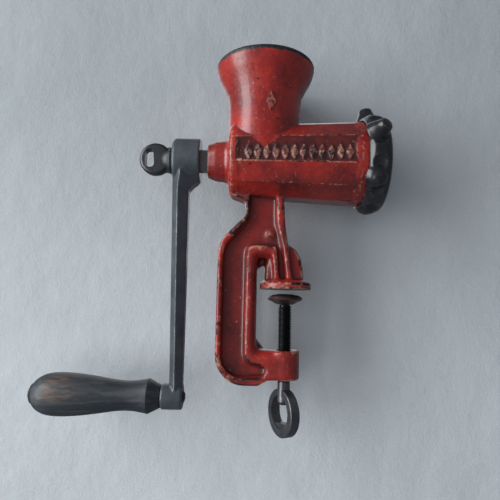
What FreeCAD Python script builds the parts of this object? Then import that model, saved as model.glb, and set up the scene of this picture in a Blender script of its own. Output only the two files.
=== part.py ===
import FreeCAD, Part
import math
import os

# A hand-cranked meat grinder that clamps to a table edge.
# Millimetres. +Z is up and +X is the way the meat comes out.
# The origin is the middle of the upper jaw's face, which rests on the table top.

V = FreeCAD.Vector
X = V(1, 0, 0)
Y = V(0, 1, 0)
Z = V(0, 0, 1)

# ---- driving dimensions -------------------------------------------------------------
AXIS_Z = 88.0                 # height of the barrel and worm axis above the jaw face
RUN_FIT = 0.05                # radial clearance of a shaft in its bearing
FACE_GAP = 0.05               # gap between faces that slide on each other
SEAT_GAP = 0.02               # gap between pieces that are screwed tight together
FREE_GAP = 0.3                # gap between threads and other loose pairs

BARREL_REAR = -38.0           # outside of the barrel's rear wall
BARREL_FRONT = 43.0           # where the facets end at the round collar
BARREL_R_REAR = 25.4          # radius over the facet corners, rear
BARREL_R_FRONT = 29.2         # radius over the facet corners, front
RIDGE_ANGLES = (-78, -52, -25, 13, 43, 73)   # facet corners on one side, down from level
BORE_R = 22.2                 # barrel bore
REAR_WALL = 5.5
MOUTH_X = 61.9                # front face of the threaded mouth
MOUTH_R = 29.4                # over the mouth's thread
MOUTH_THREAD_PITCH = 2.5
RECESS_X = 50.4               # where the bore widens for the knife and plate
RECESS_R = 27.1

BOSS_X = -55.0                # rear end of the shaft bearing boss
BOSS_R = 11.7
BOSS_ROOT_R = 14.4
SHAFT_R = 8.0

HOPPER_X = -16.2
HOPPER_TOP = 157.0
HOPPER_R = 34.4
NECK_R = 24.7
THROAT_R = 19.6

FLANGE_HALF = 9.0             # half depth of the clamp frame over its flanges
WEB_HALF = 2.6
RIB_HALF = 4.0                # half depth of the full-size middle of the flanges
JAW_R = 17.3
JAW_THICK = 5.0
CLAMP_BOSS_R = 10.0
CLAMP_BOSS_TOP = -40.0
CLAMP_BOSS_BOTTOM = -59.3

SCREW_R = 4.6                 # clamp screw over the thread
SCREW_PITCH = 1.5875          # 16 turns to the inch
THREAD_DEPTH = 0.9
PAD_R = 11.9
PAD_TOP = -2.8
PAD_BOTTOM = -9.9
EYE_TURN = -64.0              # how far the clamp screw's eye is turned from the XZ plane

PLATE_R = 26.8
PLATE_THICK = 5.0
PLATE_X = 57.0                # rear face of the plate
PLATE_HOLE_R = 2.25
STUD_R = 4.0
STUD_SQUARE = 8.0
STUD_REAR = 38.0              # bottom of the stud's hole in the worm
KNIFE_THICK = 6.0
KNIFE_R = 25.0
PIN_R = 1.0

RING_REAR = 50.0
RING_FRONT = 65.0
RING_R = 33.6
LUG_X = 56.0                  # middle of the lugs' roots along the ring
LUG_ROOT_R = 31.2
# Each lug's angle, tip radius and how far it leans towards the mouth, in degrees. The third
# and fourth are worn down.
LUGS = (
    (-92, 41.2, -6.0), (-26, 39.6, 30.0), (30, 36.4, 18.0), (88, 35.0, 10.0),
    (148, 39.2, 12.0), (208, 39.2, 12.0))
SCALLOP_X = 56.6
SCALLOP_R = 8.0
SCALLOP_REACH = 39.4          # barrel axis to the middle of each scallop's sphere
SCALLOP_COUNT = 12

HUB_LEFT = -78.7
HUB_RIGHT = -59.9
HUB_R = 15.6
CRANK_WASHER_THICK = 1.2
SQUARE_END = 11.4             # side of the worm's square end
CRANK_RADIUS = 160.0          # worm axis to grip axis
GRIP_Z = AXIS_Z - CRANK_RADIUS
LOWER_HUB_R = 8.4
LOWER_HUB_LEFT = -80.9
LOWER_HUB_RIGHT = -66.6
SPINDLE_R = 3.5
GRIP_BORE_R = 3.58
SHOULDER_X = -89.2            # grip's sharp shoulder near the crank
GRIP_INNER = -81.3
GRIP_OUTER = -165.0
SPINDLE_HEAD_X = GRIP_OUTER - 1.1

WORM_REAR = -30.9
WORM_FRONT = 50.3
WORM_R = 21.6
WORM_CORE_R = 9.8
WORM_PITCH = 27.0


# ---- helpers ------------------------------------------------------------------------
def save(shape, name):
    """Write one node's solid as a STEP file."""
    shape.exportStep("parts/" + name + ".step")


def rounded_wire(corners, to_3d):
    """Closed wire through (a, b, radius) corners; each corner is rounded by an arc."""
    count = len(corners)
    edges = []
    starts = []
    ends = []
    mids = []
    for i in range(count):
        a, b, radius = corners[i]
        here = V(a, b, 0)
        before = V(*corners[i - 1][:2], 0)
        after = V(*corners[(i + 1) % count][:2], 0)
        if radius == 0:
            starts.append(here)
            ends.append(here)
            mids.append(None)
            continue
        to_before = (before - here).normalize()
        to_after = (after - here).normalize()
        half = to_before.getAngle(to_after) / 2
        setback = radius / math.tan(half)
        centre = here + (to_before + to_after).normalize() * (radius / math.sin(half))
        starts.append(here + to_before * setback)
        ends.append(here + to_after * setback)
        mids.append(centre + (here - centre).normalize() * radius)
    for i in range(count):
        if mids[i] is not None:
            edges.append(Part.Arc(to_3d(starts[i]), to_3d(mids[i]), to_3d(ends[i])).toShape())
        following = starts[(i + 1) % count]
        if (following - ends[i]).Length > 1e-6:
            edges.append(Part.makeLine(to_3d(ends[i]), to_3d(following)))
    return Part.Wire(edges)


def side_wire(corners, y):
    """Outline of (x, z, radius) corners in the plane at y."""
    return rounded_wire(corners, lambda p: V(p.x, y, p.y))


def side_prism(corners, y_near, y_far):
    """Outline of (x, z, radius) corners, filled between two planes of constant y."""
    face = Part.Face(side_wire(corners, y_near))
    return face.extrude(V(0, y_far - y_near, 0))


def side_loft(corners_a, y_a, corners_b, y_b):
    """Solid with one outline at y_a that blends straight to another at y_b."""
    wires = [side_wire(corners_a, y_a), side_wire(corners_b, y_b)]
    return Part.makeLoft(wires, True, True)


def turned_x(profile, z=AXIS_Z, y=0.0):
    """Solid of revolution about an axis along X, from (x, radius) points."""
    points = [V(a, y, z + r) for a, r in profile]
    wire = Part.makePolygon(points + [points[0]])
    return Part.Face(wire).revolve(V(0, y, z), X, 360)


def turned_z(profile, x=0.0, y=0.0):
    """Solid of revolution about an axis along Z, from (radius, z) points."""
    points = [V(x + r, y, b) for r, b in profile]
    wire = Part.makePolygon(points + [points[0]])
    return Part.Face(wire).revolve(V(x, y, 0), Z, 360)


def rod_x(radius, x0, x1, z=AXIS_Z, y=0.0):
    return Part.makeCylinder(radius, x1 - x0, V(x0, y, z), X)


def rod_z(radius, z0, z1, x=0.0, y=0.0):
    return Part.makeCylinder(radius, z1 - z0, V(x, y, z0), Z)


def box(x0, x1, y0, y1, z0, z1):
    return Part.makeBox(x1 - x0, y1 - y0, z1 - z0, V(x0, y0, z0))


def square_x(side, x0, x1):
    """Square bar along the worm axis."""
    half = side / 2
    return box(x0, x1, -half, half, AXIS_Z - half, AXIS_Z + half)


def helical_rib(pitch, turns, root_r, tip_r, root_width, tip_width):
    """Helical rib about Z that starts at z = 0, right-handed."""
    helix = Part.makeHelix(pitch, pitch * turns, root_r)
    profile = Part.makePolygon([
        V(root_r, 0, -root_width / 2),
        V(tip_r, 0, -tip_width / 2),
        V(tip_r, 0, tip_width / 2),
        V(root_r, 0, root_width / 2),
        V(root_r, 0, -root_width / 2)])
    return Part.Wire(helix.Edges).makePipeShell([profile], True, True)


# ---- housing ------------------------------------------------------------------------
def facet_corner_radius(x):
    """Radius over the facet corners, which grows towards the mouth."""
    share = (x - BARREL_REAR) / (BARREL_FRONT - BARREL_REAR)
    return BARREL_R_REAR + share * (BARREL_R_FRONT - BARREL_R_REAR)


def facet_wire(x):
    """Many-sided section of the barrel, the same on its near and far side."""
    radius = facet_corner_radius(x)
    angles = list(RIDGE_ANGLES) + [180 - a for a in reversed(RIDGE_ANGLES)]
    points = []
    for angle in angles:
        turn = math.radians(angle)
        points.append(V(x, -radius * math.cos(turn), AXIS_Z - radius * math.sin(turn)))
    return Part.makePolygon(points + [points[0]])


def barrel_outside():
    facets = Part.makeLoft([facet_wire(BARREL_REAR), facet_wire(BARREL_FRONT)], True, True)
    collar = turned_x([
        (38.0, 0), (38.0, 26.0), (42.5, BARREL_R_FRONT - 0.8), (45.0, BARREL_R_FRONT),
        (50.5, BARREL_R_FRONT), (52.0, MOUTH_R - 1.1), (52.0, 0)])
    rear_flange = turned_x([
        (BARREL_REAR - 2.0, 0), (BARREL_REAR - 2.0, BARREL_R_REAR - 2.5),
        (BARREL_REAR - 0.5, BARREL_R_REAR - 0.6), (BARREL_REAR + 4.0, BARREL_R_REAR - 0.2),
        (BARREL_REAR + 6.0, BARREL_R_REAR - 2.0), (BARREL_REAR + 6.0, 0)])
    boss = turned_x([
        (BOSS_X, 0), (BOSS_X, BOSS_R - 0.4), (BOSS_X + 0.4, BOSS_R),
        (BOSS_X + 6.0, BOSS_ROOT_R - 0.7), (BARREL_REAR - 5.0, BOSS_ROOT_R),
        (BARREL_REAR - 3.0, BOSS_ROOT_R + 1.2), (BARREL_REAR, BOSS_ROOT_R + 4.5),
        (BARREL_REAR, 0)])
    return facets.fuse([collar, rear_flange, boss])


def threaded_mouth():
    """Mouth with the ridges that the clamping ring screws on to."""
    root = MOUTH_R - 1.1
    profile = [(RECESS_X - 4.0, 0), (RECESS_X - 4.0, root)]
    x = 53.0
    while x + MOUTH_THREAD_PITCH < MOUTH_X - 0.6:
        profile.append((x, root))
        profile.append((x + 0.45 * MOUTH_THREAD_PITCH, MOUTH_R))
        profile.append((x + 0.6 * MOUTH_THREAD_PITCH, MOUTH_R))
        x += MOUTH_THREAD_PITCH
    profile.append((x, root))
    profile.append((MOUTH_X, root))
    profile.append((MOUTH_X, 0))
    return turned_x(profile)


def hopper_outside():
    """Trumpet with a rolled rim, on a round neck that runs down into the barrel."""
    return turned_z([
        (0, AXIS_Z), (NECK_R, AXIS_Z), (NECK_R, 120.0), (24.9, 127.0), (25.9, 134.0),
        (28.5, 140.0), (31.9, 146.2), (33.6, 150.6), (HOPPER_R, 153.8),
        (HOPPER_R, 155.4), (33.6, HOPPER_TOP - 0.3), (32.6, HOPPER_TOP), (0, HOPPER_TOP)],
        x=HOPPER_X)


def hopper_inside():
    return turned_z([
        (0, AXIS_Z), (THROAT_R, AXIS_Z), (THROAT_R, 120.0), (20.1, 127.0), (21.7, 134.0),
        (24.6, 140.0), (28.1, 146.2), (30.0, 150.6), (30.9, 153.8), (31.4, HOPPER_TOP),
        (31.4, HOPPER_TOP + 1), (0, HOPPER_TOP + 1)], x=HOPPER_X)


# Outline of the clamp frame as (x, z, corner radius): down the back, round the foot,
# up through the opening and back up the column.
FRAME_BACK = [
    (-38.5, 70.0, 0), (-38.5, 63.6, 1.5), (-28.0, 59.2, 3.5), (-27.4, 50.0, 6.0),
    (-46.0, 31.0, 20.0), (-46.0, -62.7, 19.0), (-17.5, -62.7, 7.0), (-11.5, -59.3, 3.0),
    (0.0, CLAMP_BOSS_BOTTOM, 0)]
FRAME_COLUMN = [(-7.6, 2.0, 0), (4.8, 2.0, 0), (-0.8, 44.0, 12.0), (-2.4, 70.0, 0)]
OPENING_MIDDLE = [
    (0.0, CLAMP_BOSS_TOP, 0), (-19.2, CLAMP_BOSS_TOP, 3.0), (-19.2, 21.3, 3.0),
    (-9.4, 21.3, 1.0)]
OPENING_EDGE = [
    (0.0, CLAMP_BOSS_TOP - 4.5, 0), (-22.6, CLAMP_BOSS_TOP - 4.5, 5.0), (-22.6, 25.0, 4.0),
    (-9.6, 25.0, 1.0)]
# Hollow between the flanges, which runs down the spine and down the column.
FRAME_HOLLOW = [
    (-7.4, 70.0, 0), (-6.6, 43.0, 8.0), (-2.6, 28.0, 4.0), (0.2, 6.6, 1.2),
    (-4.4, 6.6, 1.2), (-6.6, 29.3, 2.0), (-26.8, 29.3, 5.0), (-26.8, -48.8, 7.0),
    (-11.5, -50.8, 2.2), (-13.5, -56.8, 2.2), (-42.2, -58.6, 14.0), (-42.2, 27.0, 16.0),
    (-25.2, 47.0, 8.0), (-25.2, 70.0, 0)]


def clamp_frame():
    """Channel-section C frame: a thin web with flanges along both edges."""
    middle = side_prism(FRAME_BACK + OPENING_MIDDLE + FRAME_COLUMN, -RIB_HALF, RIB_HALF)
    slabs = [middle]
    for side in (-1, 1):
        slabs.append(side_loft(
            FRAME_BACK + OPENING_MIDDLE + FRAME_COLUMN, side * RIB_HALF,
            FRAME_BACK + OPENING_EDGE + FRAME_COLUMN, side * FLANGE_HALF))
    frame = slabs[0].fuse(slabs[1:])
    for side in (-1, 1):
        hollow = side_prism(FRAME_HOLLOW, side * WEB_HALF, side * (FLANGE_HALF + 1))
        frame = frame.cut(hollow)
    return frame


def corner_gussets():
    """Extra metal in the opening's two corners, on the far side only."""
    upper = side_prism(
        [(-20.0, 13.0, 0), (-20.0, 25.5, 0), (-9.0, 25.5, 0), (-9.0, 20.6, 0)], 2.0, 8.6)
    lower = side_prism(
        [(-20.0, -32.0, 0), (-12.6, -41.0, 0), (-12.6, -45.0, 0), (-20.0, -45.0, 0)], 2.0, 8.6)
    return [upper, lower]


def upper_jaw():
    """Round foot that presses on the table top, with its pillar behind the column."""
    foot = turned_z([
        (0, 0), (JAW_R - 0.5, 0), (JAW_R, 0.6), (JAW_R, JAW_THICK - 1.0),
        (JAW_R - 1.5, JAW_THICK), (12.6, JAW_THICK + 1.4), (0, JAW_THICK + 1.4)])
    pillar = turned_z([
        (0, 3.0), (13.8, 3.0), (13.5, 8.0), (13.1, 15.0), (11.8, 21.5), (8.8, 27.0),
        (4.6, 30.5), (0, 31.0)], x=-1.2, y=2.0)
    behind = box(-20, 20, -RIB_HALF, 20, 0, 40)
    return [foot, pillar.common(behind)]


def screw_boss():
    boss = turned_z([
        (0, CLAMP_BOSS_BOTTOM), (CLAMP_BOSS_R - 0.8, CLAMP_BOSS_BOTTOM),
        (CLAMP_BOSS_R, CLAMP_BOSS_BOTTOM + 0.8), (CLAMP_BOSS_R, CLAMP_BOSS_TOP - 0.8),
        (CLAMP_BOSS_R - 0.8, CLAMP_BOSS_TOP), (0, CLAMP_BOSS_TOP)])
    return boss


def cast_band():
    """Row of plain raised lozenges on the panel between two ridges, on both sides."""
    first_x = -26.5
    spacing = 5.9
    count = 13
    half_wide = 2.4
    half_tall = 5.2
    raised = 0.9
    upper, lower = RIDGE_ANGLES[2], RIDGE_ANGLES[3]
    tilt = (upper + lower) / 2
    half_span = math.radians((lower - upper) / 2)
    marks = []
    for side in (-1, 1):
        for i in range(count):
            x = first_x + i * spacing
            face = facet_corner_radius(x) * math.cos(half_span)
            outline = [
                V(x - half_wide, 0, 0), V(x, 0, half_tall), V(x + half_wide, 0, 0),
                V(x, 0, -half_tall), V(x - half_wide, 0, 0)]
            mark = Part.Face(Part.makePolygon(outline)).extrude(V(0, side * 2.4, 0))
            mark.translate(V(0, side * (face + raised - 2.4), -2.6))
            mark.rotate(V(0, 0, 0), X, side * -tilt)
            mark.translate(V(0, 0, AXIS_Z))
            marks.append(mark)
    return marks


def hopper_mark():
    """One raised lozenge on the front of the hopper's neck."""
    x, z = -12.5, 122.5
    outline = [V(x - 3, 0, z), V(x, 0, z + 6.5), V(x + 3, 0, z), V(x, 0, z - 6.5), V(x - 3, 0, z)]
    mark = Part.Face(Part.makePolygon(outline)).extrude(V(0, -30.0, 0))
    skin = turned_z([
        (22.0, 112.0), (25.5, 112.0), (25.5, 120.0), (25.7, 127.0), (26.7, 134.0),
        (22.0, 134.0)], x=HOPPER_X)
    return mark.common(skin)


def casting_stub():
    """Stub that the casting's gate left on the web."""
    return Part.makeCylinder(3.4, WEB_HALF + 2.0, V(-10.5, 0, 37.0), -Y)


def housing():
    body = barrel_outside().fuse([threaded_mouth(), hopper_outside(), clamp_frame()])
    body = body.fuse(corner_gussets() + upper_jaw() + [screw_boss(), casting_stub()])
    body = body.fuse(cast_band() + [hopper_mark()])
    body = body.cut([
        rod_x(BORE_R, BARREL_REAR + REAR_WALL - 2.0, RECESS_X + 1.0),
        rod_x(RECESS_R, RECESS_X, MOUTH_X + 1.0),
        rod_x(SHAFT_R + RUN_FIT, BOSS_X - 1.0, BARREL_REAR + REAR_WALL),
        hopper_inside(),
        rod_z(SCREW_R + FREE_GAP, CLAMP_BOSS_BOTTOM - 1.0, CLAMP_BOSS_TOP + 1.0),
        plate_pin_rod()])
    return body.removeSplitter()


# ---- small pieces held by the housing -----------------------------------------------
def plate_pin_rod():
    return rod_x(PIN_R, 53.0, 60.8, z=AXIS_Z + RECESS_R)


def thrust_washer():
    rear = BARREL_REAR + REAR_WALL - 2.0
    ring = rod_x(15.0, rear, rear + 1.5)
    return ring.cut(rod_x(SHAFT_R + 0.2, rear - 1, rear + 3))


# ---- worm and what turns with it ----------------------------------------------------
def worm():
    shoulder = BARREL_REAR + REAR_WALL - 0.5 + FACE_GAP
    tail = turned_x([
        (HUB_RIGHT, 0), (HUB_RIGHT, SHAFT_R), (shoulder, SHAFT_R), (shoulder, 14.0),
        (WORM_REAR + 1.5, 14.0), (WORM_REAR + 1.5, 0)])
    core = rod_x(WORM_CORE_R, WORM_REAR, WORM_FRONT)
    turns = (WORM_FRONT - WORM_REAR - 8.0) / WORM_PITCH
    flight = helical_rib(WORM_PITCH, turns, WORM_CORE_R - 1.5, WORM_R, 6.5, 3.2)
    flight.rotate(V(0, 0, 0), Y, 90)
    flight.translate(V(WORM_REAR + 4.5, 0, AXIS_Z))
    body = core.fuse(flight)
    body = body.fuse([tail, square_x(SQUARE_END, HUB_LEFT + 0.6, HUB_RIGHT)])
    thumb_hole = rod_x(STUD_R + SEAT_GAP, HUB_LEFT - 1.0, -62.0)
    stud_hole = rod_x(STUD_R + SEAT_GAP, STUD_REAR, WORM_FRONT + 1.0)
    return body.cut([thumb_hole, stud_hole])


def worm_stud():
    """Steel stud in the worm's nose: thread, square for the knife, pilot for the plate."""
    knife_front = PLATE_X - FACE_GAP
    threaded = rod_x(STUD_R, STUD_REAR, WORM_FRONT)
    square = square_x(STUD_SQUARE, WORM_FRONT, knife_front)
    pilot = turned_x([
        (knife_front, 0), (knife_front, STUD_R), (61.0, STUD_R), (61.8, STUD_R - 0.8), (61.8, 0)])
    return threaded.fuse([square, pilot])


def cross_knife():
    """Four blades with flat front edges and swept backs, on a square-bored hub."""
    front = PLATE_X - FACE_GAP
    rear = front - KNIFE_THICK
    body = rod_x(9.0, rear, front)
    for i in range(4):
        outline = [
            V(rear + 1.0, -3.0, 5.0), V(front, -5.0, 5.0), V(front, 3.0, 5.0),
            V(rear + 1.0, 4.5, 5.0), V(rear + 1.0, -3.0, 5.0)]
        blade = Part.Face(Part.makePolygon(outline)).extrude(V(0, 0, KNIFE_R - 5.0))
        blade = blade.common(rod_x(KNIFE_R, rear, front, z=0))
        blade.rotate(V(0, 0, 0), X, 90 * i)
        blade.translate(V(0, 0, AXIS_Z))
        body = body.fuse(blade)
    return body.cut(square_x(STUD_SQUARE, rear - 1, front + 1))


def crank_arm():
    """Cast arm: hub on the worm's square, tapering bevelled bar, hub for the grip."""
    hub = turned_x([
        (HUB_LEFT, 0), (HUB_LEFT, HUB_R - 1.4), (HUB_LEFT + 1.4, HUB_R),
        (HUB_RIGHT - 0.6, HUB_R), (HUB_RIGHT, HUB_R - 0.6), (HUB_RIGHT, 0)])
    lower_hub = turned_x([
        (LOWER_HUB_LEFT, 0), (LOWER_HUB_LEFT, LOWER_HUB_R - 0.8),
        (LOWER_HUB_LEFT + 0.8, LOWER_HUB_R), (LOWER_HUB_RIGHT - 0.8, LOWER_HUB_R),
        (LOWER_HUB_RIGHT, LOWER_HUB_R - 0.8), (LOWER_HUB_RIGHT, 0)], z=GRIP_Z)

    def section(z, left, ridge, right, half_wide):
        corners = [
            V(left, -0.40 * half_wide, z), V(ridge, -half_wide, z),
            V(right, -0.52 * half_wide, z), V(right, 0.52 * half_wide, z),
            V(ridge, half_wide, z), V(left, 0.40 * half_wide, z)]
        return Part.makePolygon(corners + [corners[0]])

    shoulder = Part.makeLoft([
        section(AXIS_Z - 6.0, HUB_LEFT, -72.0, HUB_RIGHT - 0.4, 14.0),
        section(AXIS_Z - 15.6, HUB_LEFT, -73.4, HUB_RIGHT - 1.6, 12.0),
        section(AXIS_Z - 18.0, HUB_LEFT, -74.0, HUB_RIGHT - 4.6, 10.8),
        section(AXIS_Z - 21.5, HUB_LEFT, -74.3, -67.3, 9.8)], True, True)
    bar = Part.makeLoft([
        section(AXIS_Z - 21.5, HUB_LEFT, -74.3, -67.3, 9.8),
        section(GRIP_Z, -75.4, -71.6, LOWER_HUB_RIGHT - 0.4, 7.6)], True, True)
    body = hub.fuse([lower_hub, shoulder, bar])
    return body.cut([
        square_x(SQUARE_END, HUB_LEFT - 1, HUB_RIGHT + 1),
        rod_x(SPINDLE_R, LOWER_HUB_LEFT - 1, LOWER_HUB_RIGHT + 1, z=GRIP_Z)])


def crank_washer():
    ring = rod_x(8.8, HUB_LEFT - CRANK_WASHER_THICK, HUB_LEFT - SEAT_GAP)
    return ring.cut(rod_x(STUD_R + 0.2, HUB_LEFT - 2.0, HUB_LEFT + 1.0))


def thumb_screw():
    """Screw with a flared collar and a flattened eye for the fingers."""
    seat = HUB_LEFT - CRANK_WASHER_THICK
    turned = turned_x([
        (-63.0, 0), (-63.0, STUD_R), (seat, STUD_R), (seat, 9.2), (seat - 0.9, 9.4),
        (seat - 2.8, 7.9), (seat - 5.4, 6.2), (seat - 7.4, 3.6), (seat - 7.8, 0)])
    eye_x = -91.4
    eye_z = AXIS_Z + 0.6
    half_thick = 4.0
    eye = Part.makeCylinder(11.2, 2 * half_thick, V(eye_x, -half_thick, eye_z), Y)
    eye = eye.makeFillet(2.4, [e for e in eye.Edges if isinstance(e.Curve, Part.Circle)])
    neck = side_prism([
        (seat - 1.0, eye_z - 9.2, 0), (seat - 1.0, eye_z + 8.2, 0), (seat - 6.2, eye_z + 7.4, 4),
        (eye_x - 1, eye_z + 11, 0), (eye_x - 1, eye_z - 11, 0), (seat - 6.2, eye_z - 8.0, 4)],
        1.0 - half_thick, half_thick - 1.0)
    hole = rounded_wire([
        (-98.2, eye_z - 5.8, 2.7), (-98.9, eye_z + 6.8, 2.7), (-93.0, eye_z + 6.8, 2.7),
        (-91.7, eye_z - 6.6, 2.7)], lambda p: V(p.x, -10, p.y))
    hole = Part.Face(hole).extrude(V(0, 20, 0))
    return turned.fuse([eye, neck]).cut(hole)


def handle_spindle():
    """Steel pin through the grip, domed outside and riveted over the crank."""
    return turned_x([
        (LOWER_HUB_RIGHT + 1.6, 0), (LOWER_HUB_RIGHT + 1.4, 2.2), (LOWER_HUB_RIGHT + 0.6, 3.6),
        (LOWER_HUB_RIGHT, 4.0), (LOWER_HUB_RIGHT, SPINDLE_R), (SPINDLE_HEAD_X, SPINDLE_R),
        (SPINDLE_HEAD_X, 5.8), (SPINDLE_HEAD_X - 0.8, 5.3), (SPINDLE_HEAD_X - 1.8, 3.6),
        (SPINDLE_HEAD_X - 2.3, 0)], z=GRIP_Z)


def grip_washer():
    ring = rod_x(6.6, SPINDLE_HEAD_X + SEAT_GAP, GRIP_OUTER - FREE_GAP, z=GRIP_Z)
    return ring.cut(rod_x(SPINDLE_R + SEAT_GAP, GRIP_OUTER - 2, GRIP_OUTER + 1, z=GRIP_Z))


def handle_grip():
    """Turned wooden grip: full outside, waisted near the crank, with a bevelled end."""
    stations = [
        (GRIP_OUTER, 6.9), (-163.9, 8.6), (-161.0, 11.0), (-156.5, 13.0), (-149.0, 14.0),
        (-140.0, 13.8), (-128.5, 12.7), (-115.0, 10.7), (-103.5, 9.6), (-95.5, 10.2),
        (SHOULDER_X, 11.4)]
    outline = [V(x, 0, GRIP_Z + r) for x, r in stations]
    curve = Part.BSplineCurve()
    curve.interpolate(outline)
    inner_rim = V(GRIP_INNER, 0, GRIP_Z + 7.4)
    inner_centre = V(GRIP_INNER, 0, GRIP_Z)
    outer_centre = V(GRIP_OUTER, 0, GRIP_Z)
    edges = [
        curve.toShape(),
        Part.makeLine(outline[-1], inner_rim),
        Part.makeLine(inner_rim, inner_centre),
        Part.makeLine(inner_centre, outer_centre),
        Part.makeLine(outer_centre, outline[0])]
    solid = Part.Face(Part.Wire(edges)).revolve(outer_centre, X, 360)
    bore = rod_x(GRIP_BORE_R, GRIP_OUTER - 1, GRIP_INNER + 1, z=GRIP_Z)
    return solid.cut(bore)


# ---- plate and ring -----------------------------------------------------------------
def perforated_plate():
    """Round steel plate with rings of holes and a notch that rides on the pin."""
    front = PLATE_X + PLATE_THICK
    plate = rod_x(PLATE_R, PLATE_X, front)
    cuts = [rod_x(STUD_R + RUN_FIT, PLATE_X - 1, front + 1)]
    for ring_r, count in ((8.6, 8), (14.6, 14), (20.6, 20)):
        for i in range(count):
            turn = 2 * math.pi * (i + 0.5) / count
            cuts.append(rod_x(
                PLATE_HOLE_R, PLATE_X - 1, front + 1,
                z=AXIS_Z + ring_r * math.cos(turn), y=ring_r * math.sin(turn)))
    top = AXIS_Z + RECESS_R
    cuts.append(box(PLATE_X - 1, front + 1, -PIN_R - 0.4, PIN_R + 0.4, top - 2.0, top + 2))
    return plate.cut(cuts)


def clamping_ring():
    """Cast ring nut: scalloped rim with six finger lugs, two of them worn down."""
    bore_r = MOUTH_R + FREE_GAP
    lip = PLATE_X + PLATE_THICK + FACE_GAP
    rim = turned_x([
        (RING_REAR, bore_r), (RING_REAR, 30.8), (RING_REAR + 1.0, 31.8), (53.0, 33.4),
        (54.6, RING_R + 0.4), (60.5, RING_R), (63.6, RING_R - 1.2), (RING_FRONT, RING_R - 3.2),
        (RING_FRONT, 24.6), (lip, 24.0), (lip, bore_r)])
    scallops = []
    scallop_step = 360 / SCALLOP_COUNT
    for i in range(SCALLOP_COUNT):
        turn = math.radians(LUGS[0][0] + scallop_step * (i + 0.5))
        centre = V(
            SCALLOP_X, -SCALLOP_REACH * math.cos(turn), AXIS_Z - SCALLOP_REACH * math.sin(turn))
        scallops.append(Part.makeSphere(SCALLOP_R, centre))
    rim = rim.cut(scallops)
    lugs = []
    for angle, tip_r, lean in LUGS:
        height = (tip_r - LUG_ROOT_R) / math.cos(math.radians(lean))
        lug = turned_z([
            (0, -2.0), (8.6, -2.0), (6.7, height * 0.3), (5.1, height * 0.62), (4.5, height - 1.2),
            (3.1, height - 0.25), (0, height)])
        lug.rotate(V(0, 0, 0), Y, lean)
        lug.translate(V(LUG_X, 0, LUG_ROOT_R))
        lug.rotate(V(0, 0, 0), X, 90 + angle)
        lug.translate(V(0, 0, AXIS_Z))
        lugs.append(lug)
    rim = rim.fuse(lugs)
    return rim.cut(rod_x(bore_r, RING_REAR - 4, lip))


# ---- clamp screw and pad ------------------------------------------------------------
def clamp_screw():
    """Threaded rod with a spigot for the pad on top and a forged eye below."""
    thread_top = PAD_BOTTOM - 0.3
    thread_bottom = -60.5
    core_r = SCREW_R - THREAD_DEPTH
    shank = turned_z([
        (0, -76.0), (2.4, -75.6), (4.1, -73.6), (4.1, thread_bottom), (core_r, thread_bottom + 0.6),
        (core_r, thread_top), (3.0, thread_top), (3.0, -5.0), (0, -5.0)])
    turns = int((thread_top - thread_bottom - 1.6) / SCREW_PITCH)
    ridge = helical_rib(SCREW_PITCH, turns, core_r - 0.08, SCREW_R, SCREW_PITCH * 0.9, 0.28)
    ridge.translate(V(0, 0, thread_bottom + 1.1))
    half_thick = 3.3
    eye_z = -80.8
    eye = Part.makeCylinder(15.6, 2 * half_thick, V(0, -half_thick, eye_z), Y)
    eye = eye.makeFillet(0.9, [e for e in eye.Edges if isinstance(e.Curve, Part.Circle)])
    hole = Part.makeCylinder(10.6, 20, V(0, -10, eye_z + 0.6), Y)
    web = side_prism([(-12, -97, 0), (-12, -88.4, 0), (12, -86.2, 0), (12, -97, 0)],
                     -half_thick * 0.75, half_thick * 0.75)
    disc = Part.makeCylinder(15.0, 20, V(0, -10, eye_z), Y)
    eye = eye.cut(hole).fuse(web.common(disc))
    eye.rotate(V(0, 0, 0), Z, EYE_TURN)
    return shank.fuse(ridge).fuse(eye)


def clamp_pad():
    """Swivelling dished pad that presses on the underside of the table."""
    pad = turned_z([
        (0, PAD_TOP), (5.0, PAD_TOP - 0.15), (9.0, PAD_TOP - 0.9), (11.2, PAD_TOP - 2.0),
        (PAD_R, PAD_TOP - 3.1), (11.4, PAD_TOP - 4.1), (8.4, PAD_BOTTOM + 1.6),
        (5.6, PAD_BOTTOM), (0, PAD_BOTTOM)])
    return pad.cut(rod_z(3.1, PAD_BOTTOM - 1, -4.7))


def build():
    os.makedirs("parts", exist_ok=True)
    nodes = {
        "housing": housing,
        "plate_pin": plate_pin_rod,
        "thrust_washer": thrust_washer,
        "worm": worm,
        "worm_stud": worm_stud,
        "cross_knife": cross_knife,
        "crank_arm": crank_arm,
        "crank_washer": crank_washer,
        "thumb_screw": thumb_screw,
        "handle_spindle": handle_spindle,
        "grip_washer": grip_washer,
        "handle_grip": handle_grip,
        "perforated_plate": perforated_plate,
        "clamping_ring": clamping_ring,
        "clamp_screw": clamp_screw,
        "clamp_pad": clamp_pad,
    }
    for name, make in nodes.items():
        shape = make()
        save(shape, name)
        print(name, len(shape.Solids), "solid", shape.isValid(), round(shape.Volume))


build()
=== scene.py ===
import math

import bpy
import numpy as np
from mathutils import Matrix, Vector


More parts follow.
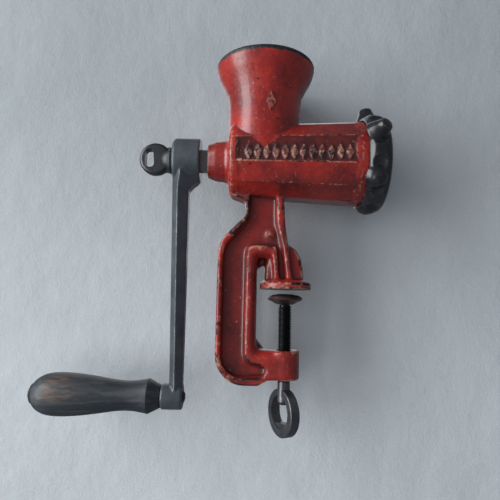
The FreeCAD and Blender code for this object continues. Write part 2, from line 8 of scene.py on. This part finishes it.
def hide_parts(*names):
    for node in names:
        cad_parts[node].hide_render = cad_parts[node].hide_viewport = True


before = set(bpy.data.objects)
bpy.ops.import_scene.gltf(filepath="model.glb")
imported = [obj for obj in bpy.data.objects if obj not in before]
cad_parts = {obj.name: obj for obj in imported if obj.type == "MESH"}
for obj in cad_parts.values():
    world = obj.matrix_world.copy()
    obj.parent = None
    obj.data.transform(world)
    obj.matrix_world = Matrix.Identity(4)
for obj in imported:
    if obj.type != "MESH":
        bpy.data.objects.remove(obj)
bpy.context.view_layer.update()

# Places in metres, in the part's own frame: the origin is the middle of the jaw's face, X runs
# along the barrel towards its mouth, and the near side looks to -Y.
AXIS_Z = 0.088                # barrel axis
BARREL_REAR = -0.038          # outside of the barrel's rear wall
BARREL_FRONT = 0.043          # where the facets end at the round collar
BARREL_R_REAR = 0.0254        # radius over the facet corners, rear
BARREL_R_FRONT = 0.0292       # radius over the facet corners, front
RIDGE_REAR = -0.034           # ends of the ridges along the facet corners
RIDGE_FRONT = 0.0425
PANEL_REAR = -0.0355          # rear end of the sunk panel
REAR_RIM_X = -0.0375          # barrel's rear edge
COLLAR_X = 0.0462             # middle of the round collar
MOUTH_REAR = 0.0516           # where the thread begins
BORE_R = 0.0226               # just outside the barrel's bore
BORE_REAR = -0.0346
HOPPER_X = -0.0162            # hopper axis
THROAT_BOTTOM = 0.100
JAW_FACE_R = 0.0172           # just outside the jaw's flat face
WEB_TOP = 0.062               # where the clamp frame's web runs into the barrel
THREAD_BOTTOM = -0.0605       # where the clamp screw's black thread ends above its bare shank
CLOTH_Y = 0.040               # just behind the part
PROUD_FROM = 0.0002           # a lozenge's wear begins this far above the face around it,
PROUD_WIDTH = 0.0004          # and is full after this much more
# Heights and radii up the hopper's inside and up its neck's outside.
THROAT = ((0.100, 0.0202), (0.122, 0.0203), (0.134, 0.0224), (0.1462, 0.0288), (0.157, 0.0317))
NECK = ((0.120, 0.0247), (0.127, 0.0249), (0.134, 0.0259))
# Heights between which the enamel gives way to the bare iron of the hopper's rim.
HOPPER_RIM = (0.1533, 0.1539)
# Angles in radians below the barrel axis's level: the panel's two ridges, and the lower ridge.
PANEL_TOP = math.radians(-25.0)
PANEL_BOTTOM = math.radians(13.0)
LOWER_RIDGE = math.radians(43.0)

# Colours as linear red, green and blue.
DEEP_RED = (0.125, 0.0090, 0.0095)
BRIGHT_RED = (0.40, 0.022, 0.015)
FADED_RED = (0.48, 0.050, 0.028)
BROWN_SPECK = (0.060, 0.006, 0.006)
# Dark colour for dirt, also laid on as painted shade under the barrel.
GRIME_AND_SHADE = (0.050, 0.009, 0.009)
PALE_CHIP = (0.44, 0.21, 0.13)
RUST = (0.13, 0.045, 0.02)


# ---- shader nodes -------------------------------------------------------------------
class Shader:
    """Builds one material's node tree with short calls."""

    def __init__(self, name):
        self.material = bpy.data.materials.new(name)
        self.material.use_nodes = True
        self.tree = self.material.node_tree
        self.surface = self.tree.nodes["Principled BSDF"]
        self.object_coords = self.add("ShaderNodeTexCoord").outputs["Object"]

    def add(self, kind, **settings):
        node = self.tree.nodes.new(kind)
        for key, value in settings.items():
            setattr(node, key, value)
        return node

    def put(self, socket, value):
        """Link an output or set a plain value."""
        if isinstance(value, bpy.types.NodeSocket):
            self.tree.links.new(value, socket)
        elif isinstance(value, tuple) and len(value) == 3 and socket.type == "RGBA":
            socket.default_value = (*value, 1.0)
        else:
            socket.default_value = value

    def math(self, operation, a, b=0.0, clamp=False):
        node = self.add("ShaderNodeMath", operation=operation, use_clamp=clamp)
        self.put(node.inputs[0], a)
        self.put(node.inputs[1], b)
        return node.outputs[0]

    def noise(self, scale, detail=4.0, roughness=0.55, stretch=None):
        node = self.add("ShaderNodeTexNoise")
        vector = self.object_coords
        if stretch:
            mapping = self.add("ShaderNodeMapping")
            mapping.inputs["Scale"].default_value = stretch
            self.put(mapping.inputs["Vector"], vector)
            vector = mapping.outputs[0]
        self.put(node.inputs["Vector"], vector)
        node.inputs["Scale"].default_value = scale
        node.inputs["Detail"].default_value = detail
        node.inputs["Roughness"].default_value = roughness
        return node.outputs["Fac"]

    def ramp(self, value, low, high, start=0.0, end=1.0):
        """Straight change from start to end as value goes from low to high, held outside."""
        node = self.add("ShaderNodeMapRange", clamp=True)
        self.put(node.inputs["Value"], value)
        self.put(node.inputs["From Min"], low)
        self.put(node.inputs["From Max"], high)
        self.put(node.inputs["To Min"], start)
        self.put(node.inputs["To Max"], end)
        return node.outputs["Result"]

    def mix(self, factor, a, b):
        """Mix of two colours. The node has its own sockets for each kind of data."""
        node = self.add("ShaderNodeMix", data_type="RGBA")
        self.put(node.inputs["Factor"], factor)
        self.put(node.inputs[6], a)
        self.put(node.inputs[7], b)
        return node.outputs[2]

    def blend(self, factor, a, b):
        """Mix of two numbers."""
        node = self.add("ShaderNodeMix", data_type="FLOAT")
        self.put(node.inputs["Factor"], factor)
        self.put(node.inputs[2], a)
        self.put(node.inputs[3], b)
        return node.outputs[0]

    def attribute(self, name):
        return self.add("ShaderNodeAttribute", attribute_name=name).outputs["Fac"]

    def axis(self, index):
        node = self.add("ShaderNodeSeparateXYZ")
        self.put(node.inputs[0], self.object_coords)
        return node.outputs[index]

    def bump(self, height, strength, distance, under=None):
        """Relief of a height, laid over the relief under it."""
        node = self.add("ShaderNodeBump")
        self.put(node.inputs["Height"], height)
        node.inputs["Strength"].default_value = strength
        node.inputs["Distance"].default_value = distance
        if under:
            self.put(node.inputs["Normal"], under)
        return node.outputs[0]

    def finish(self, colour, roughness, metallic=0.0, normal=None, coat=0.0):
        self.put(self.surface.inputs["Base Color"], colour)
        self.put(self.surface.inputs["Roughness"], roughness)
        self.put(self.surface.inputs["Metallic"], metallic)
        self.put(self.surface.inputs["Coat Weight"], coat)
        self.surface.inputs["Coat Roughness"].default_value = 0.18
        if normal:
            self.put(self.surface.inputs["Normal"], normal)
        return self.material


def red_enamel():
    """Old red enamel on cast iron: worn through on edges, chipped, bare where it rubs."""
    s = Shader("red_enamel")
    wear = s.attribute("wear")
    hollow = s.attribute("hollow")
    inside = s.attribute("inside")
    raised = s.attribute("raised")
    grimy_and_shaded = s.attribute("grimy_and_shaded")
    broad = s.noise(38.0, 3.0)
    fine = s.noise(420.0, 6.0, 0.65)
    speck = s.noise(900.0, 5.0, 0.7)
    patch = s.noise(95.0, 6.0, 0.62)

    paint = s.mix(s.ramp(broad, 0.35, 0.68), DEEP_RED, BRIGHT_RED)
    paint = s.mix(s.ramp(fine, 0.50, 0.72, 0.0, 0.4), paint, FADED_RED)
    paint = s.mix(s.ramp(speck, 0.58, 0.70, 0.0, 0.7), paint, BROWN_SPECK)
    freckle = s.ramp(s.noise(980.0, 2.0, 0.5), 0.69, 0.72)
    freckle = s.math("MULTIPLY", freckle, s.ramp(patch, 0.46, 0.58))
    paint = s.mix(s.math("MULTIPLY", freckle, 0.85), paint, PALE_CHIP)
    # Dirt in the hollows, grime in the marked places and painted shade under the barrel darken
    # the paint alike.
    spread = s.math("MULTIPLY", grimy_and_shaded, s.ramp(patch, 0.3, 0.6, 0.60, 0.95))
    dirt_and_shade = s.math("ADD", s.math("MULTIPLY", hollow, 0.8), spread, True)
    paint = s.mix(dirt_and_shade, paint, GRIME_AND_SHADE)

    # Edges rubbed thin show a tan ground coat, and where they are rubbed through, dark metal.
    rub = s.math("ADD", wear, s.ramp(fine, 0.3, 0.75, -0.42, 0.42))
    rub = s.math("ADD", rub, s.ramp(patch, 0.32, 0.68, -0.34, 0.26))
    thin = s.ramp(rub, 0.44, 0.74)
    proud = s.math("ADD", raised, s.ramp(fine, 0.3, 0.75, -0.45, 0.35))
    thin = s.math("MAXIMUM", thin, s.ramp(proud, 0.70, 1.15, 0.0, 0.75))
    knock = s.ramp(s.noise(62.0, 5.0, 0.6), 0.53, 0.56)
    knocked_edge = s.ramp(s.math("ADD", wear, s.ramp(fine, 0.3, 0.75, -0.3, 0.3)), 0.30, 0.40)
    through = s.math("MULTIPLY", knock, knocked_edge)
    through = s.math("MAXIMUM", through, s.ramp(s.math("SUBTRACT", rub, raised), 1.35, 1.42))
    tan = s.mix(s.ramp(speck, 0.35, 0.65), (0.22, 0.060, 0.040), (0.56, 0.31, 0.21))
    colour = s.mix(thin, paint, tan)
    metal = s.mix(s.ramp(speck, 0.4, 0.6), (0.022, 0.018, 0.018), (0.07, 0.055, 0.05))
    colour = s.mix(through, colour, metal)

    spatter = s.ramp(s.noise(430.0, 2.0, 0.5), 0.685, 0.70)
    chip = s.math("ADD", s.ramp(patch, 0.60, 0.74, 0.0, 0.6), s.ramp(speck, 0.45, 0.75, 0.0, 0.6))
    chip = s.math("MAXIMUM", s.ramp(chip, 0.70, 0.74), spatter)
    chip_colour = s.mix(s.ramp(fine, 0.45, 0.55), (0.04, 0.022, 0.02), (0.40, 0.19, 0.13))
    colour = s.mix(chip, colour, chip_colour)

    uneven_height = s.math("ADD", s.axis(2), s.ramp(patch, 0.3, 0.7, -0.0008, 0.0008))
    bare = s.math("MAXIMUM", s.ramp(uneven_height, *HOPPER_RIM), inside)
    iron = s.mix(s.ramp(fine, 0.35, 0.7), (0.030, 0.029, 0.030), (0.095, 0.09, 0.09))
    iron = s.mix(s.ramp(inside, 0.5, 0.6, 0.0, 0.8), iron, (0.24, 0.23, 0.22))
    colour = s.mix(bare, colour, iron)

    worn = s.math("MAXIMUM", s.math("MAXIMUM", through, chip), bare)
    thin_or_worn = s.math("MAXIMUM", thin, worn)
    rough = s.blend(thin_or_worn, s.ramp(fine, 0.3, 0.75, 0.30, 0.46), 0.55)
    metallic = s.math("MULTIPLY", worn, 0.75)
    waves = s.bump(s.noise(75.0, 3.0, 0.5), 0.10, 0.0016)
    sand = s.bump(s.noise(260.0, 5.0, 0.6), 0.18, 0.0008, waves)
    sunk = s.bump(s.math("MULTIPLY", thin_or_worn, -1.0), 0.35, 0.0004, sand)
    grain = s.bump(speck, 0.12, 0.0004, sunk)
    return s.finish(colour, rough, metallic, grain, s.blend(worn, 0.28, 0.0))


def cast_black():
    """Black japanned iron, rubbed to dark metal on the high edges."""
    s = Shader("cast_black")
    wear = s.attribute("wear")
    fine = s.noise(520.0, 6.0, 0.65)
    patch = s.noise(110.0, 5.0, 0.6)
    base = s.mix(s.ramp(patch, 0.35, 0.7), (0.006, 0.006, 0.007), (0.016, 0.016, 0.019))
    rub = s.math("ADD", wear, s.ramp(fine, 0.3, 0.75, -0.4, 0.4))
    rub = s.ramp(rub, 0.55, 0.95)
    metallic = s.math("MULTIPLY", rub, 0.7)
    colour = s.mix(rub, base, (0.105, 0.102, 0.105))
    colour = s.mix(s.ramp(fine, 0.68, 0.76, 0.0, 0.5), colour, (0.085, 0.07, 0.06))
    rough = s.blend(rub, s.ramp(patch, 0.3, 0.7, 0.24, 0.40), 0.40)
    sand = s.bump(s.noise(330.0, 5.0, 0.6), 0.26, 0.0008)
    return s.finish(colour, rough, metallic, s.bump(fine, 0.12, 0.0004, sand), 0.30)


def dark_iron():
    """Crank arm's dull dark grey iron with old scratches."""
    s = Shader("dark_iron")
    wear = s.attribute("wear")
    fine = s.noise(480.0, 6.0, 0.65)
    patch = s.noise(70.0, 5.0, 0.6)
    streak = s.noise(60.0, 5.0, 0.7, stretch=(9.0, 9.0, 0.8))
    base = s.mix(s.ramp(patch, 0.3, 0.72), (0.040, 0.050, 0.060), (0.090, 0.106, 0.120))
    base = s.mix(s.ramp(streak, 0.55, 0.75, 0.0, 0.5), base, (0.09, 0.095, 0.10))
    rub = s.math("ADD", wear, s.ramp(fine, 0.3, 0.75, -0.4, 0.4))
    rub = s.ramp(rub, 0.5, 0.95)
    metallic = s.ramp(rub, 0.0, 1.0, 0.2, 0.8)
    colour = s.mix(rub, base, (0.16, 0.16, 0.165))
    rough = s.blend(rub, s.ramp(patch, 0.3, 0.7, 0.36, 0.52), 0.4)
    sand = s.bump(s.noise(300.0, 5.0, 0.6), 0.3, 0.0008)
    return s.finish(colour, rough, metallic, s.bump(fine, 0.12, 0.0004, sand), 0.25)


def steel(name, dark, light, rough_low, rough_high, rust=0.0, black_above=None):
    """Tarnished steel, from plated screws to ground blades, black above a height if told."""
    s = Shader(name)
    fine = s.noise(700.0, 6.0, 0.65)
    patch = s.noise(120.0, 5.0, 0.6)
    colour = s.mix(s.ramp(patch, 0.3, 0.7), dark, light)
    colour = s.mix(s.ramp(fine, 0.58, 0.7, 0.0, 0.6), colour, tuple(v * 0.35 for v in dark))
    if black_above is not None:
        blackened = s.ramp(s.axis(2), black_above - 0.001, black_above + 0.001)
        colour = s.mix(blackened, colour, (0.018, 0.018, 0.020))
    if rust:
        spots = s.math("MULTIPLY", s.ramp(patch, 0.52, 0.66), s.ramp(fine, 0.4, 0.6))
        colour = s.mix(s.math("MULTIPLY", spots, rust), colour, RUST)
    rough = s.ramp(fine, 0.3, 0.7, rough_low, rough_high)
    return s.finish(colour, rough, 0.88, s.bump(fine, 0.14, 0.0004))


def dark_wood():
    """Turned handle, dark with varnish, with grain along its length."""
    s = Shader("dark_wood")
    broad = s.noise(34.0, 5.0, 0.6, stretch=(0.28, 1.6, 1.6))
    grain = s.noise(210.0, 6.0, 0.7, stretch=(0.10, 1.5, 1.5))
    pores = s.noise(620.0, 3.0, 0.6, stretch=(0.07, 1.4, 1.4))
    # The wood's cool blue-grey tone is a painted reflection of the cool room light.
    colour = s.mix(s.ramp(broad, 0.36, 0.66), (0.015, 0.019, 0.024), (0.036, 0.042, 0.049))
    colour = s.mix(s.ramp(grain, 0.48, 0.66, 0.0, 0.75), colour, (0.075, 0.078, 0.082))
    # Brown patch that the hand has rubbed bare on top, towards the outer end.
    outer_edge = s.ramp(s.axis(0), -0.157, -0.152)
    inner_edge = s.ramp(s.axis(0), -0.130, -0.142)
    lower_edge = s.ramp(s.axis(2), -0.0765, -0.0715)
    streaks = s.ramp(s.noise(330.0, 5.0, 0.65, stretch=(0.3, 1.3, 1.3)), 0.46, 0.58)
    rubbed = s.math("MULTIPLY", outer_edge, inner_edge)
    rubbed = s.math("MULTIPLY", rubbed, lower_edge)
    rubbed = s.math("MULTIPLY", rubbed, streaks)
    colour = s.mix(s.math("MULTIPLY", rubbed, 0.8), colour, (0.145, 0.092, 0.062))
    colour = s.mix(s.ramp(pores, 0.6, 0.7, 0.0, 0.8), colour, (0.006, 0.005, 0.005))
    rough = s.ramp(grain, 0.35, 0.7, 0.42, 0.64)
    relief = s.bump(grain, 0.40, 0.0009)
    return s.finish(colour, rough, 0.0, s.bump(pores, 0.2, 0.0004, relief), 0.10)


def pale_cloth():
    """Pale cloth behind the part: fine weave, soft folds, painted light that is paler low down
    and to the right, and clear when seen from behind.
    """
    s = Shader("pale_cloth")
    weave = s.noise(1500.0, 3.0, 0.6)
    crumple = s.noise(26.0, 5.0, 0.62, stretch=(1.0, 1.0, 0.8))
    mottle = s.noise(7.0, 4.0, 0.6)
    # Painted light: the cloth is paler towards the bottom and towards the right, with random
    # mottle over it.
    painted_light_low = s.ramp(s.axis(2), -0.11, 0.16, 0.80, 0.22)
    painted_light_right = s.ramp(s.axis(0), -0.17, 0.12, -0.12, 0.14)
    painted_light_and_mottle = s.math("ADD", painted_light_low, painted_light_right)
    painted_light_and_mottle = s.math("ADD", painted_light_and_mottle, s.ramp(mottle, 0.3, 0.7, -0.10, 0.10), True)
    colour = s.mix(painted_light_and_mottle, (0.36, 0.387, 0.408), (0.64, 0.675, 0.70))
    threads = s.mix(painted_light_and_mottle, (0.28, 0.30, 0.32), (0.50, 0.53, 0.55))
    colour = s.mix(s.ramp(weave, 0.35, 0.65, 0.0, 0.5), colour, threads)
    creases = s.bump(s.noise(9.0, 3.0, 0.5), 0.35, 0.010)
    folds = s.bump(crumple, 0.42, 0.004, creases)
    s.finish(colour, 0.9, 0.0, s.bump(weave, 0.5, 0.0006, folds))
    output = s.tree.nodes["Material Output"]
    facing = s.add("ShaderNodeNewGeometry").outputs["Backfacing"]
    clear = s.add("ShaderNodeBsdfTransparent")
    choose = s.add("ShaderNodeMixShader")
    s.put(choose.inputs[0], facing)
    s.put(choose.inputs[1], s.surface.outputs[0])
    s.put(choose.inputs[2], clear.outputs[0])
    s.put(output.inputs["Surface"], choose.outputs[0])
    return s.material


# ---- softened castings --------------------------------------------------------------
def neighbour_mean(values, edges, counts):
    """Mean of each vertex's neighbours."""
    total = np.zeros_like(values)
    np.add.at(total, edges[:, 0], values[edges[:, 1]])
    np.add.at(total, edges[:, 1], values[edges[:, 0]])
    return total / (counts[:, None] if values.ndim == 2 else counts)


def read_mesh(mesh):
    """Places of a mesh's vertices, and the pairs of vertices that its edges join."""
    places = np.empty(len(mesh.vertices) * 3)
    mesh.vertices.foreach_get("co", places)
    edges = np.empty(len(mesh.edges) * 2, dtype=np.int64)
    mesh.edges.foreach_get("vertices", edges)
    return places.reshape(-1, 3), edges.reshape(-1, 2)


def add_attribute(mesh, name, values):
    layer = mesh.attributes.new(name, "FLOAT", "POINT")
    layer.data.foreach_set("value", values.astype(np.float32))


def cast_piece(node, grain, rounds, wear_size, material, shape=None):
    """Copy of a CAD node with its edges softened like a casting's, and its wear measured."""
    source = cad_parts[node]
    piece = source.copy()
    piece.data = source.data.copy()
    piece.name = node + "_cast"
    bpy.context.scene.collection.objects.link(piece)
    remesh = piece.modifiers.new("grain", "REMESH")
    remesh.mode = "VOXEL"
    remesh.voxel_size = grain
    remesh.use_smooth_shade = True
    graph = bpy.context.evaluated_depsgraph_get()
    mesh = bpy.data.meshes.new_from_object(piece.evaluated_get(graph))
    piece.modifiers.clear()
    piece.data = mesh
    places, edges = read_mesh(mesh)
    counts = np.maximum(np.bincount(edges.ravel(), minlength=len(places)), 1)
    for _ in range(rounds):
        places += 0.5 * (neighbour_mean(places, edges, counts) - places)
    if shape:
        shape(places, edges, counts)
    mesh.vertices.foreach_set("co", places.ravel())
    mesh.update()
    normals = np.empty(len(mesh.vertices) * 3)
    mesh.vertices.foreach_get("normal", normals)
    normals = normals.reshape(-1, 3)
    relaxed = places.copy()
    for _ in range(3):
        relaxed = neighbour_mean(relaxed, edges, counts)
    bulge = np.einsum("ij,ij->i", places - relaxed, normals)
    add_attribute(mesh, "wear", np.clip(bulge / wear_size, 0.0, 1.0))
    add_attribute(mesh, "hollow", np.clip(-bulge / wear_size, 0.0, 1.0))
    mesh.materials.clear()
    mesh.materials.append(material)
    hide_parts(node)
    return piece, places


def between(values, low, high):
    return (values > low) & (values < high)


def rising(distance, width):
    """0 up to no distance, 1 from width on."""
    return np.clip(distance / width, 0.0, 1.0)


def falling(distance, width, start=1.0, most=1.0):
    """start at no distance, less by 1 for each width, held between 0 and most."""
    return np.clip(start - distance / width, 0.0, most)


def radius_at(z, profile):
    """Radius at a height, by a profile of heights and radii."""
    heights, radii = zip(*profile)
    return np.interp(z, heights, radii)


# ---- the housing's own shape --------------------------------------------------------
def round_housing(places, edges, counts):
    """Fill the clamp frame's roots, then round its edges more than the rest."""
    fill_roots(places, edges, counts, rounds=26)
    soften_frame(places, edges, counts, rounds=34)


def fill_roots(places, edges, counts, rounds):
    """Round fillets where the clamp frame's flanges meet its web."""
    x, y, z = places.T
    web = (np.abs(y) < 0.0088) & between(x, -0.0445, 0.006) & (z < 0.060)
    opening = (x > -0.0245) & (z < 0.0265)
    share = (web & ~opening).astype(float)
    for _ in range(4):
        share = neighbour_mean(share, edges, counts)
    for _ in range(rounds):
        step = neighbour_mean(places, edges, counts) - places
        outward = np.where(y < 0, -step[:, 1], step[:, 1])
        keep = share * rising(outward, 0.00002)
        places += 0.6 * keep[:, None] * step


def soften_frame(places, edges, counts, rounds):
    """Round the clamp frame's edges more than the rest of the casting's."""
    x, z = places[:, 0], places[:, 2]
    clamp_frame = between(z, -0.0585, WEB_TOP) & (x < 0.004)
    upper_jaw = between(z, -0.002, 0.007) & (x > -0.019)
    share = (clamp_frame & ~upper_jaw).astype(float)
    for _ in range(6):
        share = neighbour_mean(share, edges, counts)
    for _ in range(rounds):
        places += (0.5 * share)[:, None] * (neighbour_mean(places, edges, counts) - places)


# ---- the housing's wear, grime and painted shade ------------------------------------
class Skin:
    """Where the housing's vertices lie, in the measures that its marks are told by."""

    def __init__(self, places):
        self.x, self.y, self.z = places.T
        self.from_hopper = np.hypot(self.x - HOPPER_X, self.y)
        self.from_axis = np.hypot(self.y, self.z - AXIS_Z)
        self.from_jaw = np.hypot(self.x, self.y)
        self.angle = np.arctan2(AXIS_Z - self.z, np.abs(self.y))
        # The neck's foot, which runs down over the panel and its upper ridge as a V.
        self.apron = np.abs(self.x - HOPPER_X) < 1.1 * (self.z - 0.0905)
        self.panel = between(self.angle, PANEL_TOP, PANEL_BOTTOM) & ~self.apron
        self.panel &= between(self.x, PANEL_REAR, BARREL_FRONT)


def bare_iron(skin):
    """Throat, bore, jaw's face and threaded mouth, which have no enamel."""
    in_throat = skin.from_hopper < radius_at(skin.z, THROAT) + 0.0003
    in_throat &= skin.z > THROAT_BOTTOM
    in_bore = (skin.from_axis < BORE_R) & (skin.x > BORE_REAR)
    on_jaw = (np.abs(skin.z) < 0.0004) & (skin.from_jaw < JAW_FACE_R)
    on_mouth = (skin.x > MOUTH_REAR) & (skin.from_axis > 0.026)
    return (in_throat | in_bore | on_jaw | on_mouth).astype(float)


def ridges(skin):
    """The ridges along the facet corners over, under and well below the panel."""
    on_barrel = between(skin.x, RIDGE_REAR, RIDGE_FRONT)
    beside = np.minimum(np.abs(skin.angle - PANEL_TOP), np.abs(skin.angle - PANEL_BOTTOM))
    beside = falling(beside * skin.from_axis, 0.0010, start=1.3, most=1.1)
    beside = beside * ~skin.apron * (skin.from_axis > 0.0235)
    lower = np.abs(skin.angle - LOWER_RIDGE) * skin.from_axis
    lower = falling(lower, 0.0009, start=1.2, most=0.9) * (skin.z > WEB_TOP)
    return np.maximum(beside, lower) * on_barrel


def rims(skin):
    """The round collar, the rear edge of the barrel and the edge of the jaw's foot."""
    collar = falling(np.abs(skin.x - COLLAR_X), 0.0042) * (skin.from_axis > 0.0268)
    rear = falling(np.abs(skin.x - REAR_RIM_X), 0.0030)
    rear = rear * between(skin.from_axis, 0.0235, 0.0272)
    foot = rising(skin.from_jaw - 0.0150, 0.0015)
    foot = foot * between(skin.z, -0.001, 0.0062) * (skin.x > -0.019)
    return np.maximum.reduce([0.95 * collar, rear, 0.9 * foot])


def lozenges(skin):
    """How far a place stands out of the panel's flat or out of the hopper's neck."""
    middle = (PANEL_TOP + PANEL_BOTTOM) / 2
    half_span = (PANEL_BOTTOM - PANEL_TOP) / 2
    corner = np.interp(skin.x, [BARREL_REAR, BARREL_FRONT], [BARREL_R_REAR, BARREL_R_FRONT])
    out = np.abs(skin.y) * math.cos(middle) - (skin.z - AXIS_Z) * math.sin(middle)
    band = rising(out - corner * math.cos(half_span) - PROUD_FROM, PROUD_WIDTH) * skin.panel
    near_mark = between(skin.z, 0.114, 0.131) & (skin.y < -0.015) & (skin.from_hopper < 0.030)
    mark = rising(skin.from_hopper - radius_at(skin.z, NECK) - PROUD_FROM, PROUD_WIDTH)
    mark = mark * near_mark
    return np.maximum(band, mark)


def grime_and_shade(skin):
    """Grime in the panel and the frame's channel and on the boss, darker paint high on the
    barrel, and painted shade low on it.
    """
    outside = skin.from_axis > 0.018
    channel = (np.abs(skin.y) < 0.0045) & between(skin.z, -0.058, WEB_TOP) & (skin.x < 0.0)
    boss = (skin.x < -0.0425) & (skin.from_axis < 0.0175)
    # Painted shade: darker paint along the barrel's underside towards its front end.
    below = rising(0.0745 - skin.z, 0.004) * (skin.z > 0.058) * outside * (skin.x > -0.006)
    above = (skin.angle < math.radians(-26.0)) & between(skin.x, 0.012, BARREL_FRONT) & outside
    return np.maximum.reduce(
        [1.0 * skin.panel, 0.45 * channel, 0.45 * boss, 0.55 * below, 0.30 * above])


def mark_housing(piece, places):
    """Where the housing is bare, where it stands proud and is rubbed, where it is grimy, and
    where shade is painted on it.
    """
    skin = Skin(places)
    add_attribute(piece.data, "inside", bare_iron(skin))
    raised = np.maximum.reduce([lozenges(skin), rims(skin), ridges(skin)])
    add_attribute(piece.data, "raised", raised)
    add_attribute(piece.data, "grimy_and_shaded", grime_and_shade(skin))


# ---- pieces and their materials -----------------------------------------------------
enamel = red_enamel()
housing, housing_places = cast_piece(
    "housing", 0.0006, 4, 0.00013, enamel, shape=round_housing)
mark_housing(housing, housing_places)
black = cast_black()
iron = dark_iron()
cast_piece("clamping_ring", 0.00055, 4, 0.00014, black)
cast_piece("crank_arm", 0.00055, 4, 0.00014, iron)

plain_nodes = {
    "plate_pin": steel("pin_steel", (0.20, 0.20, 0.21), (0.34, 0.34, 0.35), 0.30, 0.45),
    "thrust_washer": steel("washer_brass", (0.28, 0.19, 0.07), (0.45, 0.33, 0.15), 0.35, 0.5),
    "worm": steel("worm_tin", (0.22, 0.22, 0.22), (0.40, 0.40, 0.39), 0.38, 0.55, 0.35),
    "worm_stud": steel("stud_steel", (0.24, 0.24, 0.25), (0.40, 0.40, 0.41), 0.25, 0.4),
    "cross_knife": steel("knife_steel", (0.30, 0.30, 0.31), (0.48, 0.48, 0.49), 0.22, 0.38, 0.2),
    "crank_washer": steel("washer_steel", (0.10, 0.10, 0.11), (0.22, 0.22, 0.23), 0.35, 0.5, 0.3),
    "thumb_screw": steel(
        "thumb_steel", (0.050, 0.052, 0.058), (0.115, 0.118, 0.125), 0.34, 0.5, 0.25),
    "handle_spindle": steel(
        "spindle_steel", (0.045, 0.045, 0.05), (0.10, 0.10, 0.105), 0.38, 0.52, 0.3),
    "grip_washer": steel("grip_steel", (0.06, 0.06, 0.065), (0.14, 0.14, 0.145), 0.38, 0.52, 0.3),
    "handle_grip": dark_wood(),
    "perforated_plate": steel(
        "plate_steel", (0.28, 0.28, 0.29), (0.45, 0.45, 0.46), 0.25, 0.42, 0.3),
    "clamp_screw": steel(
        "screw_steel", (0.085, 0.087, 0.095), (0.19, 0.192, 0.205), 0.32, 0.48, 0.2,
        black_above=THREAD_BOTTOM),
    "clamp_pad": steel("pad_steel", (0.10, 0.055, 0.05), (0.21, 0.13, 0.12), 0.32, 0.5, 0.6),
}
for name, material in plain_nodes.items():
    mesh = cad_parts[name].data
    if mesh.materials:
        mesh.materials[0] = material
    else:
        mesh.materials.append(material)


# ---- stage, light and camera --------------------------------------------------------
def backdrop():
    """Cloth just behind the part, with a few soft folds."""
    side = 61                 # vertices along each side
    span = 1.3
    lift = 0.03
    fold_depth = 0.0012
    vertices = []
    for row in range(side):
        for column in range(side):
            x = span * (column / (side - 1) - 0.5)
            z = span * (row / (side - 1) - 0.5)
            fold = fold_depth * math.sin(21 * x + 6 * z + 1.4) * math.sin(9 * z - 5 * x)
            vertices.append((x, CLOTH_Y + fold, z + lift))
    faces = []
    for row in range(side - 1):
        for column in range(side - 1):
            first = row * side + column
            faces.append((first, first + 1, first + side + 1, first + side))
    mesh = bpy.data.meshes.new("cloth")
    mesh.from_pydata(vertices, [], faces)
    mesh.polygons.foreach_set("use_smooth", [True] * len(faces))
    mesh.materials.append(pale_cloth())
    cloth = bpy.data.objects.new("cloth", mesh)
    bpy.context.scene.collection.objects.link(cloth)
    cloth.visible_diffuse = False
    cloth.visible_glossy = False
    cloth.visible_shadow = False


def area_light(name, place, target, wide, tall, power, colour, glossy=True):
    """Rectangular light turned to its target."""
    data = bpy.data.lights.new(name, "AREA")
    data.shape = "RECTANGLE"
    data.size = wide
    data.size_y = tall
    data.energy = power
    data.color = colour
    light = bpy.data.objects.new(name, data)
    light.location = place
    light.rotation_euler = (Vector(target) - Vector(place)).to_track_quat("-Z", "Y").to_euler()
    light.visible_glossy = glossy
    bpy.context.scene.collection.objects.link(light)


def make_camera():
    """Near view square to the part's side, from a little below its middle, looking up."""
    place = Vector((-0.0244, -0.314, -0.0075))
    pitch = math.radians(6.2)
    roll = math.radians(1.3)
    forward = Vector((0.0, math.cos(pitch), math.sin(pitch)))
    level = forward.cross(Vector((0, 0, 1))).normalized()
    upright = level.cross(forward)
    right = level * math.cos(roll) + upright * math.sin(roll)
    up = upright * math.cos(roll) - level * math.sin(roll)
    data = bpy.data.cameras.new("camera")
    data.sensor_width = 36.0
    data.lens = 33.2
    data.clip_start = 0.01
    camera = bpy.data.objects.new("camera", data)
    turn = Matrix((right, up, -forward)).transposed()
    camera.matrix_world = Matrix.Translation(place) @ turn.to_4x4()
    bpy.context.scene.collection.objects.link(camera)
    bpy.context.scene.camera = camera


def world_light():
    """Faint cool light from all sides."""
    world = bpy.data.worlds.new("room")
    world.use_nodes = True
    background = world.node_tree.nodes["Background"]
    background.inputs["Color"].default_value = (0.80, 0.88, 1.0, 1.0)
    background.inputs["Strength"].default_value = 0.18
    bpy.context.scene.world = world


backdrop()
middle = (-0.02, 0.0, 0.03)
area_light("window", (-1.10, -0.55, 0.26), middle, 0.62, 1.5, 21.0, (0.96, 0.99, 1.0))
area_light("fill", (-0.35, -1.1, -0.10), middle, 1.0, 1.0, 4.6, (0.95, 0.98, 1.0), glossy=False)
area_light("behind", (-0.2, 0.9, 0.5), middle, 0.9, 0.9, 2.4, (0.95, 0.97, 1.0))
make_camera()
world_light()
bpy.context.scene.view_settings.view_transform = "Standard"
